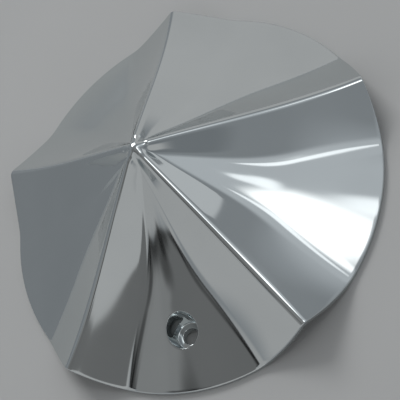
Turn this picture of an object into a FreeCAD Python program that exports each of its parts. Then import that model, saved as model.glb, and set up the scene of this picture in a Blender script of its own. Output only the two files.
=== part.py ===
import FreeCAD, Part
import math
import os

# Wheel centre cap, one moulding with a chromed face. Millimetres, +Z up.
# The origin is on the cap's axis, in the plane that the rim's seat lies in.

# Driving sizes
CAP_RADIUS = 82.5
APEX_HEIGHT = 49.0
CREST_END_HEIGHT = 11.8
CREST_SAG = 2.3
CREST_HALF_WIDTH = 1.85
RIM_EDGE_HEIGHT = 1.9
RIM_FLARE_DEG = 10.3
VALLEY_SLOPE = 0.47
CREASE_START = 11.3
CREASE_SLOPE = 0.163
CREASE_BLEND = 1.5
VALLEY_BLEND = 0.16
VALLEY_BLEND_MOST = 3.0
FLANK_HOLLOW = 0.18
APEX_FLAT_RADIUS = 0.8
APEX_DOME_RADIUS = 3.4
APEX_DOME_DROP = 0.65
APEX_BLEND_RADIUS = 6.0
WALL_DROP = 2.8

# Screw pocket and its boss
POCKET_REACH = 61.0
POCKET_MOUTH_RADIUS = 6.45
POCKET_DRAFT_DEG = 6.0
POCKET_FLOOR = 4.0
SCREW_HOLE_RADIUS = 3.3
BOSS_WALL = 2.2
BOSS_FOOT = 0.8

# The face's pattern and its sampling
RIDGES = 5
FIRST_RIDGE_DEG = 90.0
SCREW_VALLEY_DEG = -90.0
ROWS = 12
ROW_GROWTH = 1.25
CREST_COLUMNS = 4
PANEL_COLUMNS = 36
RIM_PASSES = 12
SEW_TOLERANCE = 0.01
CLEAR = 30.0

HALF_SECTOR = math.pi / RIDGES
CREST_RUN = CAP_RADIUS + CREST_END_HEIGHT * math.tan(math.radians(RIM_FLARE_DEG))
SAG_SCALE = 6.75
CREST_ANGLE_CAP = 0.55 * HALF_SECTOR


def crest_height(x):
    """Height of a ridge's crest line at plan distance x from the axis."""
    run = x / CREST_RUN
    chord = APEX_HEIGHT - (APEX_HEIGHT - CREST_END_HEIGHT) * run
    return RIM_EDGE_HEIGHT + chord - CREST_SAG * SAG_SCALE * run * run * (1.0 - run)


def valley_height(r):
    """Height of the round cone that lies between the ridges."""
    return RIM_EDGE_HEIGHT + VALLEY_SLOPE * (CAP_RADIUS - r)


def crease_offset(x):
    """Plan distance from a crest line to the crease along its flank."""
    return CREASE_START + CREASE_SLOPE * x


def crest_round(y):
    """Distance across a crest, rounded within the crest's own width."""
    if y < CREST_HALF_WIDTH:
        return y * y / (2.0 * CREST_HALF_WIDTH)
    return y - CREST_HALF_WIDTH / 2.0


def flank_height(x, y):
    """Height of one ridge's roof at x along and y across its crest."""
    crease = crease_offset(x)
    drop = crest_height(x) - valley_height(math.hypot(x, crease))
    t = crest_round(abs(y)) / (crease - CREST_HALF_WIDTH / 2.0)
    hollow = FLANK_HOLLOW * (1.0 - t)
    fall = t * (1.0 + hollow) if t < 1.0 else t + hollow
    return crest_height(x) - drop * fall


def blend_max(a, b, width):
    """The higher of two heights, with a round hollow where they cross."""
    near = max(width - abs(a - b), 0.0) / width
    return max(a, b) + near * near * width / 4.0


def ease(t):
    """Smooth step from 0 to 1."""
    t = min(max(t, 0.0), 1.0)
    return t * t * (3.0 - 2.0 * t)


def face_height(r, angle):
    """Height of the cap's face at radius r and angle from the nearest crest."""
    near = abs(angle)
    far = 2.0 * HALF_SECTOR - near
    own = flank_height(r * math.cos(near), r * math.sin(near))
    other = flank_height(r * math.cos(far), r * math.sin(far))
    roofs = blend_max(own, other, min(VALLEY_BLEND * r, VALLEY_BLEND_MOST))
    z = blend_max(roofs, valley_height(r), CREASE_BLEND)
    dome = crest_height(0.0) - APEX_DOME_DROP - r * r / (2.0 * APEX_DOME_RADIUS)
    share = ease((r - APEX_FLAT_RADIUS) / (APEX_BLEND_RADIUS - APEX_FLAT_RADIUS))
    return dome + (z - dome) * share


def rim_radius(angle, drop):
    """Radius where the face, lowered by drop, meets the flared rim."""
    flare = math.tan(math.radians(RIM_FLARE_DEG))
    r = CAP_RADIUS
    for _ in range(RIM_PASSES):
        r = CAP_RADIUS + flare * (face_height(r, angle) - drop - RIM_EDGE_HEIGHT)
    return r


def crest_angle(r):
    """Half the angle that a crest's own strip takes at radius r."""
    return CREST_ANGLE_CAP * math.tanh(math.atan2(CREST_HALF_WIDTH, r) / CREST_ANGLE_CAP)


def curve_through(points, marks):
    """Smooth curve that passes each point at its mark."""
    curve = Part.BSplineCurve()
    curve.interpolate(Points=list(points), Parameters=marks)
    return curve


def faces_over(first, last, columns, drop, rows):
    """Bands of the face between two angles that vary with the radius."""
    across = [i / columns for i in range(columns + 1)]
    sections = []
    for j in range(rows + 1):
        share = (j / rows) ** ROW_GROWTH
        base = APEX_FLAT_RADIUS + (CAP_RADIUS - APEX_FLAT_RADIUS) * share
        row = []
        for step in across:
            angle = first(base) + (last(base) - first(base)) * step
            reach = rim_radius(angle, drop)
            r = APEX_FLAT_RADIUS + (reach - APEX_FLAT_RADIUS) * share
            z = face_height(r, angle) - drop
            row.append(FreeCAD.Vector(r * math.cos(angle), r * math.sin(angle), z))
        sections.append(curve_through(row, across).toShape())
    bands = [Part.makeRuledSurface(a, b) for a, b in zip(sections, sections[1:])]
    return {"bands": bands, "apex": sections[0], "rim": sections[-1]}


def crest_strip(drop, rows):
    """The rounded strip along one ridge's crest."""
    return faces_over(lambda r: -crest_angle(r), crest_angle, CREST_COLUMNS, drop, rows)


def valley_panel(drop, rows):
    """The two flanks and the cone from one crest's strip to the next."""
    return faces_over(crest_angle, lambda r: 2.0 * HALF_SECTOR - crest_angle(r), PANEL_COLUMNS, drop, rows)


def around(shape, k):
    """A copy of a first-ridge shape turned to ridge number k."""
    turned = shape.copy()
    turned.rotate(FreeCAD.Vector(0, 0, 0), FreeCAD.Vector(0, 0, 1), FIRST_RIDGE_DEG + k * 360.0 / RIDGES)
    return turned


def shell_body():
    """The face, its underside and the rim's edge, sewn into one solid."""
    outer = (crest_strip(0.0, ROWS), valley_panel(0.0, ROWS))
    inner = (crest_strip(WALL_DROP, ROWS), valley_panel(WALL_DROP, ROWS))
    patterns = [Part.makeRuledSurface(a["rim"], b["rim"]) for a, b in zip(outer, inner)]
    for part in outer + inner:
        patterns += part["bands"]
    faces = [around(pattern, k) for pattern in patterns for k in range(RIDGES)]
    for pair in (outer, inner):
        ring = [around(part["apex"], k) for part in pair for k in range(RIDGES)]
        faces.append(Part.Face(Part.Wire(Part.__sortEdges__(ring))))
    sewn = Part.makeShell(faces)
    sewn.sewShape(SEW_TOLERANCE)
    return Part.makeSolid(sewn)


def pocket_place():
    """Point in the seat's plane on the screw pocket's axis."""
    a = math.radians(SCREW_VALLEY_DEG)
    return FreeCAD.Vector(POCKET_REACH * math.cos(a), POCKET_REACH * math.sin(a), 0.0)


def round_cut(profile, place):
    """Solid turned from an outline of radius and height about an upright axis."""
    points = [FreeCAD.Vector(place.x + r, place.y, z) for r, z in profile]
    wire = Part.makePolygon(points + points[:1])
    return Part.Face(wire).revolve(place, FreeCAD.Vector(0, 0, 1), 360)


def boss_body(place):
    """Boss round the screw pocket, its head inside the wall of the cap."""
    taper = math.tan(math.radians(POCKET_DRAFT_DEG))
    mouth = valley_height(POCKET_REACH)
    head = mouth + CLEAR
    foot_radius = POCKET_MOUTH_RADIUS + BOSS_WALL - taper * (mouth - BOSS_FOOT)
    head_radius = foot_radius + taper * (head - BOSS_FOOT)
    post = round_cut([(0, BOSS_FOOT), (foot_radius, BOSS_FOOT), (head_radius, head), (0, head)], place)
    peak = valley_height(0.0) - WALL_DROP / 2.0
    roof = Part.makeCone(peak / VALLEY_SLOPE, 0, peak)
    return post.common(roof)


def pocket_tool(place):
    """Screw pocket and the clearance hole in its floor."""
    taper = math.tan(math.radians(POCKET_DRAFT_DEG))
    mouth = valley_height(POCKET_REACH)
    floor_radius = POCKET_MOUTH_RADIUS - taper * (mouth - POCKET_FLOOR)
    head = mouth + CLEAR
    head_radius = floor_radius + taper * (head - POCKET_FLOOR)
    outline = [
        (0, -CLEAR),
        (SCREW_HOLE_RADIUS, -CLEAR),
        (SCREW_HOLE_RADIUS, POCKET_FLOOR),
        (floor_radius, POCKET_FLOOR),
        (head_radius, head),
        (0, head),
    ]
    return round_cut(outline, place)


os.makedirs("parts", exist_ok=True)

body = shell_body()
side = 2.0 * (CREST_RUN + CLEAR)
below = Part.makeBox(side, side, CLEAR, FreeCAD.Vector(-side / 2.0, -side / 2.0, -CLEAR))
body = body.cut(below)
place = pocket_place()
body = body.fuse(boss_body(place))
body = body.cut(pocket_tool(place))
cap = body.Solids[0]
cap.exportStep("parts/center_cap.step")
print(len(body.Solids), cap.isValid(), cap.Volume, cap.BoundBox)
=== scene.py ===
import math

import bpy
import numpy as np
from mathutils import Matrix, Vector


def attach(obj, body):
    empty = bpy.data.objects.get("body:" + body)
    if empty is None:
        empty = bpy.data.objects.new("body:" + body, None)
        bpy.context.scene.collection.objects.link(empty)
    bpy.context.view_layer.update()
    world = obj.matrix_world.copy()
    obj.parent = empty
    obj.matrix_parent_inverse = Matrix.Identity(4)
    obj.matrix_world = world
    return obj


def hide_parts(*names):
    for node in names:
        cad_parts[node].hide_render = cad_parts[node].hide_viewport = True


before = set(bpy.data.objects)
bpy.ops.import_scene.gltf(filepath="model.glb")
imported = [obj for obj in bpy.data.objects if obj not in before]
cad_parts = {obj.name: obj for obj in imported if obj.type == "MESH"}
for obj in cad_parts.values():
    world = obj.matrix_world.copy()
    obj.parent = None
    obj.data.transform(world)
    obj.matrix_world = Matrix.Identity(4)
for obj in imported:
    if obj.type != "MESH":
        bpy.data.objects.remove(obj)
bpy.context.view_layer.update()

MM = 0.001

# The face in millimetres, as in the CAD source but for its valley roots
CAP_RADIUS = 82.5
APEX_HEIGHT = 49.0
CREST_END_HEIGHT = 11.8
CREST_SAG = 2.3
SAG_SCALE = 6.75
CREST_HALF_WIDTH = 1.85
RIM_EDGE_HEIGHT = 1.9
RIM_FLARE = math.tan(math.radians(10.3))
VALLEY_SLOPE = 0.47
CREASE_START = 11.3
CREASE_SLOPE = 0.163
CREASE_BLEND = 1.25
CREASE_BLEND_GROWTH = 0.12
ROOT_RISE = 9.2
ROOT_REACH = 53.0
FLANK_HOLLOW = 0.18
APEX_FLAT_RADIUS = 0.8
APEX_DOME_RADIUS = 3.4
APEX_DOME_DROP = 0.65
APEX_BLEND_RADIUS = 6.0
WALL_DROP = 2.8
RIDGES = 5
FIRST_RIDGE = math.radians(90.0)
HALF_SECTOR = math.pi / RIDGES

# Screw pocket and its boss
POCKET_REACH = 61.0
POCKET_MOUTH_RADIUS = 6.45
POCKET_TAPER = math.tan(math.radians(6.0))
POCKET_FLOOR = 4.0
SCREW_HOLE_RADIUS = 3.3
BOSS_WALL = 2.2
BOSS_FOOT = 0.8

# Rounded edges
RIM_ROUND = 0.5
FOOT_ROUND = 0.3
MOUTH_ROUND = 0.2
FLOOR_ROUND = 0.6
SMALL_ROUND = 0.2

# Mesh of the face and the rim
ROWS = 104
ROW_GROWTH = 1.15
POLE_RADIUS = 0.15
CREST_STEPS = 5
CREST_ANGLE_SHARE = 0.55
FLANK_STEPS = 8
BEND_STEPS = 9
BEND_HALF_WIDTH = 4.0
BEND_TRIES = 200
BEND_ANGLE_SHARE = 0.88
BEND_FLANK_SHARE = 0.5
BEND_VALLEY_SHARE = 0.7
VALLEY_STEPS = 7
RIM_STEPS = 5
RIM_PASSES = 12
EDGE_SHARES = (0.33, 0.67, 1.0)
FOOT_STEPS = 4
LAND_PASSES = 30
LAND_PULL = 0.7

# Mesh of the pocket, which takes the place of a block of the face's cells
BLOCK_HALF = 11.0
LEAD_SHARES = (0.15, 0.3, 0.45, 0.6, 0.75, 0.88, 1.0)
MOUTH_STEPS = 6
WALL_SHARES = (0.2, 0.4, 0.6, 0.8, 1.0)
FLOOR_STEPS = 4
SMALL_STEPS = 3
UNDER_SHARES = (0.4, 0.7)


def crest_height(x):
    """Height of a ridge's crest line at plan distance x from the axis."""
    run = x / (CAP_RADIUS + CREST_END_HEIGHT * RIM_FLARE)
    chord = APEX_HEIGHT - (APEX_HEIGHT - CREST_END_HEIGHT) * run
    return RIM_EDGE_HEIGHT + chord - CREST_SAG * SAG_SCALE * run * run * (1.0 - run)


def valley_height(r):
    """Height of the round cone that lies between the ridges."""
    return RIM_EDGE_HEIGHT + VALLEY_SLOPE * (CAP_RADIUS - r)


def root_height(r):
    """Height of that cone with its root drawn up towards the apex like a trumpet."""
    return valley_height(r) + ROOT_RISE * np.maximum(1.0 - r / ROOT_REACH, 0.0) ** 2


def flank_height(x, y):
    """Height of one ridge's roof at x along and y across its crest."""
    crease = CREASE_START + CREASE_SLOPE * x
    drop = crest_height(x) - valley_height(np.hypot(x, crease))
    half = CREST_HALF_WIDTH
    y = np.abs(y)
    rounded = np.where(y < half, y * y / (2.0 * half), y - half / 2.0)
    t = rounded / (crease - half / 2.0)
    hollow = FLANK_HOLLOW * (1.0 - t)
    return crest_height(x) - drop * np.where(t < 1.0, t * (1.0 + hollow), t + hollow)


def blend_max(a, b, width):
    """The higher of two heights, with a round hollow where they cross."""
    near = np.maximum(width - np.abs(a - b), 0.0) / width
    return np.maximum(a, b) + near * near * width / 4.0


def face_height(r, angle):
    """Height of the cap's face at radius r and angle from the first ridge."""
    near = np.abs((angle + HALF_SECTOR) % (2.0 * HALF_SECTOR) - HALF_SECTOR)
    far = 2.0 * HALF_SECTOR - near
    own = flank_height(r * np.cos(near), r * np.sin(near))
    other = flank_height(r * np.cos(far), r * np.sin(far))
    blend = np.minimum(CREASE_BLEND_GROWTH * r, CREASE_BLEND)
    z = blend_max(np.maximum(own, other), root_height(r), blend)
    out = np.maximum(r, APEX_FLAT_RADIUS)
    dome = crest_height(0.0) - APEX_DOME_DROP - out ** 2 / (2.0 * APEX_DOME_RADIUS)
    t = np.clip((r - APEX_FLAT_RADIUS) / (APEX_BLEND_RADIUS - APEX_FLAT_RADIUS), 0.0, 1.0)
    return dome + (z - dome) * t * t * (3.0 - 2.0 * t)


def sector_angles(r):
    """Angles across one ridge's sector at radius r, closest where the face bends."""
    most = CREST_ANGLE_SHARE * HALF_SECTOR
    crest = most * math.tanh(math.atan2(CREST_HALF_WIDTH, r) / most)
    tries = np.linspace(0.0, HALF_SECTOR, BEND_TRIES)
    roof = flank_height(r * np.cos(tries), r * np.sin(tries))
    crossing = float(np.interp(0.0, root_height(r) - roof, tries))
    bend = min(crossing, BEND_ANGLE_SHARE * HALF_SECTOR)
    flank_room = (bend - crest) * BEND_FLANK_SHARE
    valley_room = (HALF_SECTOR - bend) * BEND_VALLEY_SHARE
    width = min(BEND_HALF_WIDTH / r, flank_room, valley_room)
    half = list(np.linspace(0.0, crest, CREST_STEPS + 1))
    half += list(np.linspace(crest, bend - width, FLANK_STEPS + 1))[1:]
    half += list(np.linspace(bend - width, bend + width, BEND_STEPS + 1))[1:]
    half += list(np.linspace(bend + width, HALF_SECTOR, VALLEY_STEPS + 1))[1:]
    return np.array([-a for a in reversed(half[1:-1])] + half)


def ring_angles(r):
    """Angles all round the cap at radius r, from the first ridge."""
    one = sector_angles(r)
    return np.concatenate([one + k * 2.0 * HALF_SECTOR for k in range(RIDGES)])


def rim_radius(angle):
    """Radius where the face meets the flared rim."""
    r = np.full_like(angle, CAP_RADIUS)
    for _ in range(RIM_PASSES):
        r = CAP_RADIUS + RIM_FLARE * (face_height(r, angle) - RIM_EDGE_HEIGHT)
    return r


def bezier(a, b, c, steps):
    """Points from a to c round the corner b, without the first."""
    out = []
    for i in range(1, steps + 1):
        t = i / steps
        out.append(a * (1 - t) ** 2 + b * 2 * t * (1 - t) + c * t * t)
    return out


def polar(r, z, angle):
    """Points at radius r, height z and an angle from the first ridge."""
    a = angle + FIRST_RIDGE
    return np.stack([r * np.cos(a), r * np.sin(a), z], 1)


def face_row(share, end, drop):
    """One round of points on the face lowered by drop, part of the way to its end."""
    angle = ring_angles(POLE_RADIUS + (CAP_RADIUS - POLE_RADIUS) * share)
    r = POLE_RADIUS + (end - POLE_RADIUS) * share
    return polar(r, np.maximum(face_height(r, angle) - drop, 0.0), angle)


def skin_rows():
    """Rounds of points over the face, round the rim's edge and back under the cap."""
    shares = [(j / ROWS) ** ROW_GROWTH for j in range(ROWS + 1)]
    angle = ring_angles(CAP_RADIUS)
    reach = rim_radius(angle)
    top = face_height(reach, angle)
    low = np.maximum(top - WALL_DROP, 0.0)
    foot = CAP_RADIUS + RIM_FLARE * (low - RIM_EDGE_HEIGHT)
    face = [face_row(share, reach - RIM_ROUND, 0.0) for share in shares]

    edge_top = polar(reach - RIM_FLARE * RIM_ROUND, top - RIM_ROUND, angle)
    edge_low = polar(foot + RIM_FLARE * FOOT_ROUND, low + FOOT_ROUND, angle)
    edge = bezier(face[-1], polar(reach, top, angle), edge_top, RIM_STEPS)
    edge += [edge_top + (edge_low - edge_top) * t for t in EDGE_SHARES]
    land = foot - FOOT_ROUND
    inner_z = np.maximum(face_height(land, angle) - WALL_DROP, 0.0)
    edge += bezier(edge_low, polar(foot, low, angle), polar(land, inner_z, angle), FOOT_STEPS)

    for _ in range(LAND_PASSES):
        high = face_height(land, angle) - WALL_DROP
        land = land - np.maximum(-high, 0.0) * LAND_PULL
    under_end = np.minimum(land, foot - 2.0 * FOOT_ROUND)
    under = [face_row(share, under_end, WALL_DROP) for share in reversed(shares)]
    return np.stack(face + edge + under)


def pocket_block(grid):
    """First and last row and column of the cells that the screw pocket replaces."""
    radius = np.hypot(grid[: ROWS + 1, 0, 0], grid[: ROWS + 1, 0, 1])
    first = int(np.argmax(radius > POCKET_REACH - BLOCK_HALF))
    last = int(np.argmax(radius > POCKET_REACH + BLOCK_HALF))
    across = grid[(first + last) // 2]
    middle = int(np.argmin(across[:, 1]))
    span = int(np.argmax(np.roll(np.abs(across[:, 0]), -middle) > BLOCK_HALF))
    return first, last, middle - span, middle + span


def surface(points, drop):
    """Heights of the face, lowered by drop, over plan points."""
    r = np.hypot(points[:, 0], points[:, 1])
    return face_height(r, np.arctan2(points[:, 1], points[:, 0]) - FIRST_RIDGE) - drop


def ring(points, z):
    """Plan points lifted to height z."""
    return np.column_stack([points, np.broadcast_to(z, len(points))])


def pocket_rings(start, end):
    """Rounds of points from the face down the pocket, through its hole and up the boss."""
    place = np.array([0.0, -POCKET_REACH])
    turn = np.arctan2(start[:, 1] - place[1], start[:, 0] - place[0])
    ray = np.stack([np.cos(turn), np.sin(turn)], 1)

    def circle(radius):
        return place + ray * radius

    def level(radius, z):
        return ring(circle(radius), z)

    mouth = POCKET_MOUTH_RADIUS
    hole = SCREW_HOLE_RADIUS
    mouth_height = valley_height(POCKET_REACH)
    floor = mouth - POCKET_TAPER * (mouth_height - POCKET_FLOOR)
    boss = mouth + BOSS_WALL - POCKET_TAPER * (mouth_height - BOSS_FOOT)
    root = boss + POCKET_TAPER * (mouth_height - WALL_DROP - BOSS_FOOT)

    # From the face over the mouth's edge
    rings = []
    edge = circle(mouth + MOUTH_ROUND)
    for t in LEAD_SHARES:
        points = start + (edge - start) * t
        rings.append(ring(points, surface(points, 0.0)))
    lip = surface(circle(mouth), 0.0)
    wall_top = level(mouth, lip - MOUTH_ROUND)
    rings += bezier(rings[-1], level(mouth, lip), wall_top, MOUTH_STEPS)

    # Down the wall and across the floor
    wall_foot = level(floor + POCKET_TAPER * FLOOR_ROUND, POCKET_FLOOR + FLOOR_ROUND)
    rings += [wall_top + (wall_foot - wall_top) * t for t in WALL_SHARES]
    floor_edge = level(floor - FLOOR_ROUND, POCKET_FLOOR)
    rings += bezier(wall_foot, level(floor, POCKET_FLOOR), floor_edge, FLOOR_STEPS)
    hole_edge = level(hole + SMALL_ROUND, POCKET_FLOOR)
    hole_top = level(hole, POCKET_FLOOR - SMALL_ROUND)
    rings.append(hole_edge)
    rings += bezier(hole_edge, level(hole, POCKET_FLOOR), hole_top, SMALL_STEPS)

    # Through the hole and across the boss's foot
    hole_foot = level(hole, BOSS_FOOT + SMALL_ROUND)
    rings += [(hole_top + hole_foot) / 2.0, hole_foot]
    foot_in = level(hole + SMALL_ROUND, BOSS_FOOT)
    rings += bezier(hole_foot, level(hole, BOSS_FOOT), foot_in, SMALL_STEPS)
    foot_out = level(boss - SMALL_ROUND, BOSS_FOOT)
    rings += [(foot_in + foot_out) / 2.0, foot_out]

    # Up the boss and out along the underside
    boss_low = level(boss, BOSS_FOOT + SMALL_ROUND)
    rings += bezier(foot_out, level(boss, BOSS_FOOT), boss_low, SMALL_STEPS)
    root_height_here = surface(circle(root), WALL_DROP)
    boss_high = level(root, root_height_here - SMALL_ROUND)
    rings += [(boss_low + boss_high) / 2.0, boss_high]
    out = circle(root + SMALL_ROUND)
    under_edge = ring(out, surface(out, WALL_DROP))
    rings += bezier(boss_high, level(root, root_height_here), under_edge, SMALL_STEPS)
    for t in UNDER_SHARES:
        points = out + (end - out) * t
        rings.append(ring(points, surface(points, WALL_DROP)))
    return rings


def bridge(first, second):
    """Faces between two closed rounds with as many vertices each."""
    n = len(first)
    return [(first[k], second[k], second[(k + 1) % n], first[(k + 1) % n]) for k in range(n)]


def cap_mesh():
    """Vertices and faces of the whole cap in millimetres, as one closed skin."""
    grid = skin_rows()
    n_rows, n_cols = grid.shape[:2]
    under_first = n_rows - (ROWS + 1)
    j0, j1, i0, i1 = pocket_block(grid)
    verts = [tuple(p) for p in grid.reshape(-1, 3)]
    faces = []

    def index(row, col):
        return row * n_cols + col % n_cols

    def in_block(row, col):
        return j0 <= row < j1 and i0 <= col < i1

    for row in range(n_rows - 1):
        mirror = n_rows - 2 - row
        for col in range(n_cols):
            if in_block(row, col) or (row >= under_first and in_block(mirror, col)):
                continue
            near = (index(row, col), index(row + 1, col))
            faces.append(near + (index(row + 1, col + 1), index(row, col + 1)))

    apex = float(face_height(POLE_RADIUS, 0.0))
    verts.append((0.0, 0.0, apex))
    faces += [(len(verts) - 1, index(0, c), index(0, c + 1)) for c in range(n_cols)]
    verts.append((0.0, 0.0, apex - WALL_DROP))
    last = n_rows - 1
    faces += [(len(verts) - 1, index(last, c + 1), index(last, c)) for c in range(n_cols)]

    loop = [(j0, c) for c in range(i0, i1)] + [(j, i1) for j in range(j0, j1)]
    loop += [(j1, c) for c in range(i1, i0, -1)] + [(j, i0) for j in range(j1, j0, -1)]
    outer = [index(j, c) for j, c in loop]
    inner = [index(last - j, c) for j, c in loop]
    start = np.array([verts[i][:2] for i in outer])
    end = np.array([verts[i][:2] for i in inner])
    previous = outer
    for points in pocket_rings(start, end):
        current = list(range(len(verts), len(verts) + len(points)))
        verts += [tuple(p) for p in points]
        faces += bridge(previous, current)
        previous = current
    faces += bridge(previous, inner)
    return verts, faces


def new_mesh(name, verts, faces, scale):
    """Smooth mesh object, linked to the scene."""
    mesh = bpy.data.meshes.new(name)
    mesh.from_pydata([tuple(c * scale for c in v) for v in verts], [], faces)
    mesh.validate()
    mesh.update()
    mesh.polygons.foreach_set("use_smooth", [True] * len(mesh.polygons))
    obj = bpy.data.objects.new(name, mesh)
    bpy.context.scene.collection.objects.link(obj)
    return obj


verts, faces = cap_mesh()
cap = new_mesh("cap", verts, faces, MM)
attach(cap, "root")
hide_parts("center_cap")


def node(tree, kind, **values):
    """New shader node with its settings."""
    made = tree.nodes.new(kind)
    for key, value in values.items():
        setattr(made, key, value)
    return made


def direction(azimuth, elevation):
    """Unit vector towards an azimuth and an elevation in degrees."""
    a = math.radians(azimuth)
    e = math.radians(elevation)
    return Vector((math.cos(e) * math.cos(a), math.cos(e) * math.sin(a), math.sin(e)))


# Chrome: bright metal, with a faint haze in its tint and its polish
CHROME_TONES = ((0.575, 0.61, 0.617, 1.0), (0.605, 0.64, 0.647, 1.0))
HAZE_SCALE = 26.0
HAZE_DETAIL = 4.0
TINT_RANGE = (0.35, 0.65)
POLISH_RANGE = (0.3, 0.7)
POLISH = (0.045, 0.075)


def chrome_material():
    """Metal of the whole cap."""
    material = bpy.data.materials.new("chrome")
    material.use_nodes = True
    tree = material.node_tree
    shader = tree.nodes["Principled BSDF"]
    shader.inputs["Metallic"].default_value = 1.0
    coords = node(tree, "ShaderNodeTexCoord")
    haze = node(tree, "ShaderNodeTexNoise")
    haze.inputs["Scale"].default_value = HAZE_SCALE
    haze.inputs["Detail"].default_value = HAZE_DETAIL
    tree.links.new(coords.outputs["Object"], haze.inputs["Vector"])
    tint = node(tree, "ShaderNodeValToRGB")
    for element, position, color in zip(tint.color_ramp.elements, TINT_RANGE, CHROME_TONES):
        element.position = position
        element.color = color
    tree.links.new(haze.outputs["Fac"], tint.inputs["Fac"])
    tree.links.new(tint.outputs["Color"], shader.inputs["Base Color"])
    rough = node(tree, "ShaderNodeMapRange")
    rough.inputs["From Min"].default_value = POLISH_RANGE[0]
    rough.inputs["From Max"].default_value = POLISH_RANGE[1]
    rough.inputs["To Min"].default_value = POLISH[0]
    rough.inputs["To Max"].default_value = POLISH[1]
    tree.links.new(haze.outputs["Fac"], rough.inputs["Value"])
    tree.links.new(rough.outputs["Result"], shader.inputs["Roughness"])
    return material


cap.data.materials.append(chrome_material())

# Floor: pale and mottled, with painted shade that darkens its colour softly behind the cap
FLOOR_HALF = 3.0
FLOOR_CORNERS = ((-1, -1), (1, -1), (1, 1), (-1, 1))
FLOOR_TONES = ((0.495, 0.50, 0.497, 1.0), (0.525, 0.53, 0.527, 1.0))
FLOOR_MOTTLE = 9.0
FLOOR_ROUGHNESS = 0.9
# Painted shade on the floor behind the cap: its azimuth, where it starts and ends in metres
# along that azimuth, and the tone the floor's colour is multiplied by
PAINTED_SHADE_AZIMUTH = 128
PAINTED_SHADE_START = 0.12
PAINTED_SHADE_END = 0.34
PAINTED_SHADE_TONE = (0.84, 0.86, 0.88, 1.0)


def floor_material():
    """Matt material of the floor, with painted shade darkening it behind the cap."""
    material = bpy.data.materials.new("floor")
    material.use_nodes = True
    tree = material.node_tree
    shader = tree.nodes["Principled BSDF"]
    shader.inputs["Roughness"].default_value = FLOOR_ROUGHNESS
    coords = node(tree, "ShaderNodeTexCoord")
    mottle = node(tree, "ShaderNodeTexNoise")
    mottle.inputs["Scale"].default_value = FLOOR_MOTTLE
    tree.links.new(coords.outputs["Object"], mottle.inputs["Vector"])
    ramp = node(tree, "ShaderNodeValToRGB")
    for element, color in zip(ramp.color_ramp.elements, FLOOR_TONES):
        element.color = color
    tree.links.new(mottle.outputs["Fac"], ramp.inputs["Fac"])
    # Painted shade: the floor's colour is multiplied darker beyond a line behind the cap
    away = node(tree, "ShaderNodeVectorMath", operation="DOT_PRODUCT")
    away.inputs[1].default_value = direction(PAINTED_SHADE_AZIMUTH, 0)
    tree.links.new(coords.outputs["Object"], away.inputs[0])
    painted_shade_ramp = node(tree, "ShaderNodeMapRange", interpolation_type="SMOOTHSTEP")
    painted_shade_ramp.inputs["From Min"].default_value = PAINTED_SHADE_START
    painted_shade_ramp.inputs["From Max"].default_value = PAINTED_SHADE_END
    tree.links.new(away.outputs["Value"], painted_shade_ramp.inputs["Value"])
    painted_shade_mix = node(tree, "ShaderNodeMix", data_type="RGBA", blend_type="MULTIPLY")
    tree.links.new(painted_shade_ramp.outputs["Result"], painted_shade_mix.inputs["Factor"])
    tree.links.new(ramp.outputs["Color"], painted_shade_mix.inputs["A"])
    painted_shade_mix.inputs["B"].default_value = PAINTED_SHADE_TONE
    tree.links.new(painted_shade_mix.outputs["Result"], shader.inputs["Base Color"])
    return material


floor = new_mesh("floor", [(x, y, 0) for x, y in FLOOR_CORNERS], [(0, 1, 2, 3)], FLOOR_HALF)
floor.data.materials.append(floor_material())

# Camera: its axes, its distance from the rim's centre in metres, and its lens in millimetres
CAMERA_RIGHT = Vector((0.895338, -0.02452, -0.444713))
CAMERA_UP = Vector((0.219842, 0.892703, 0.393385))
CAMERA_BACK = Vector((0.38735, -0.449979, 0.804661))
CAMERA_DISTANCE = 0.4883505
SENSOR_WIDTH = 36.0
LENS = 107.647
SHIFT_X = 0.02579
SHIFT_Y = -0.00848
camera_data = bpy.data.cameras.new("camera")
camera_data.sensor_width = SENSOR_WIDTH
camera_data.lens = LENS
camera_data.shift_x = SHIFT_X
camera_data.shift_y = SHIFT_Y
camera = bpy.data.objects.new("camera", camera_data)
bpy.context.scene.collection.objects.link(camera)
turn = Matrix((CAMERA_RIGHT, CAMERA_UP, CAMERA_BACK)).transposed().to_4x4()
aim = Vector((0, 0, RIM_EDGE_HEIGHT * MM))
camera.matrix_world = Matrix.Translation(aim + CAMERA_BACK * CAMERA_DISTANCE) @ turn
bpy.context.scene.camera = camera

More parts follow.
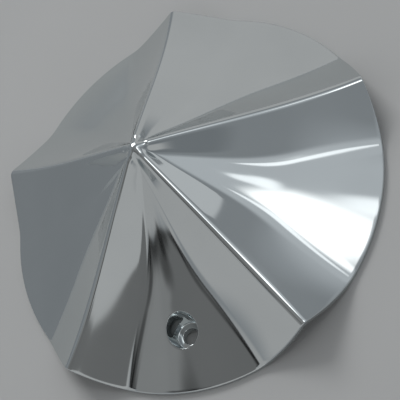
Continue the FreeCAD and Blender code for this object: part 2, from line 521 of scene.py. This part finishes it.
# Room: a grey surround, with pale and dark panels as they show in the chrome.
# Each panel has its azimuth, elevation, full and faded radius in degrees, level and blue tint.
ROOM_LEVEL = 0.315
ROOM_TINT = 0.05
PANELS = (
    (80, 13, 18, 30, 0.53, 0.0),
    (46, 14, 12.5, 13.8, 0.66, 0.02),
    (175, 8, 16, 26, 0.275, 0.05),
    (-150, 17, 15, 22, 0.49, 0.0),
    (-86, 30, 28, 34, 0.53, 0.0),
    (-46, 33, 6, 16, 0.245, 0.06),
    (10, 42, 14, 22, 0.44, 0.05),
    (131, 54, 11, 16, 0.24, 0.0),
    (22, 55, 10, 20, 0.63, 0.04),
    (20, 55.8, 1.2, 3.6, 1.6, 0.02),
    (17, 53.9, 0.8, 2.6, 1.5, 0.02),
    (11, 66, 3.5, 10.2, 2.5, 0.0),
    (-124, 36, 9, 12.5, 0.475, 0.0),
    (-146, 62, 19.0, 19.8, 0.04, 0.0),
    (-146, 62, 14.5, 18.6, 0.28, 0.0),
    (-97, 60, 13.8, 15.0, 0.19, 0.0),
    (-112, 74, 23.0, 25.0, 0.185, 0.0),
    (-131, 48.8, 1.0, 4.5, 0.09, 0.0),
    (-112, 82, 6.0, 21.0, 0.28, 0.0),
    (-128, 47.2, 0.6, 2.6, 0.02, 0.0),
    (-150, 43, 6.5, 9.5, 0.30, 0.0),
)


def tone(level, tint):
    """Grey of a level, made bluer by the tint."""
    return (level * (1.0 - tint), level, level * (1.0 + tint), 1.0)


def room():
    """World of the surround, with one panel laid over the next."""
    made = bpy.data.worlds.new("room")
    made.use_nodes = True
    tree = made.node_tree
    coords = node(tree, "ShaderNodeTexCoord")
    color = node(tree, "ShaderNodeRGB")
    color.outputs[0].default_value = tone(ROOM_LEVEL, ROOM_TINT)
    last = color.outputs[0]
    for azimuth, elevation, inside, outside, level, tint in PANELS:
        dot = node(tree, "ShaderNodeVectorMath", operation="DOT_PRODUCT")
        dot.inputs[1].default_value = direction(azimuth, elevation)
        tree.links.new(coords.outputs["Generated"], dot.inputs[0])
        reach = node(tree, "ShaderNodeMapRange", interpolation_type="SMOOTHSTEP")
        reach.inputs["From Min"].default_value = math.cos(math.radians(outside))
        reach.inputs["From Max"].default_value = math.cos(math.radians(inside))
        tree.links.new(dot.outputs["Value"], reach.inputs["Value"])
        mix = node(tree, "ShaderNodeMix", data_type="RGBA")
        tree.links.new(reach.outputs["Result"], mix.inputs["Factor"])
        tree.links.new(last, mix.inputs["A"])
        mix.inputs["B"].default_value = tone(level, tint)
        last = mix.outputs["Result"]
    tree.links.new(last, tree.nodes["Background"].inputs["Color"])
    return made


bpy.context.scene.world = room()

# One large soft light behind the cap, above the far side of the picture
KEY_AZIMUTH = 114
KEY_ELEVATION = 39
KEY_DISTANCE = 3.0
KEY_SIZE = 1.4
KEY_POWER = 38.0
key_data = bpy.data.lights.new("key", "AREA")
key_data.shape = "SQUARE"
key_data.size = KEY_SIZE
key_data.energy = KEY_POWER
key = bpy.data.objects.new("key", key_data)
bpy.context.scene.collection.objects.link(key)
toward = direction(KEY_AZIMUTH, KEY_ELEVATION)
key.location = toward * KEY_DISTANCE
key.rotation_euler = toward.to_track_quat("Z", "Y").to_euler()

scene = bpy.context.scene
scene.view_settings.view_transform = "Standard"
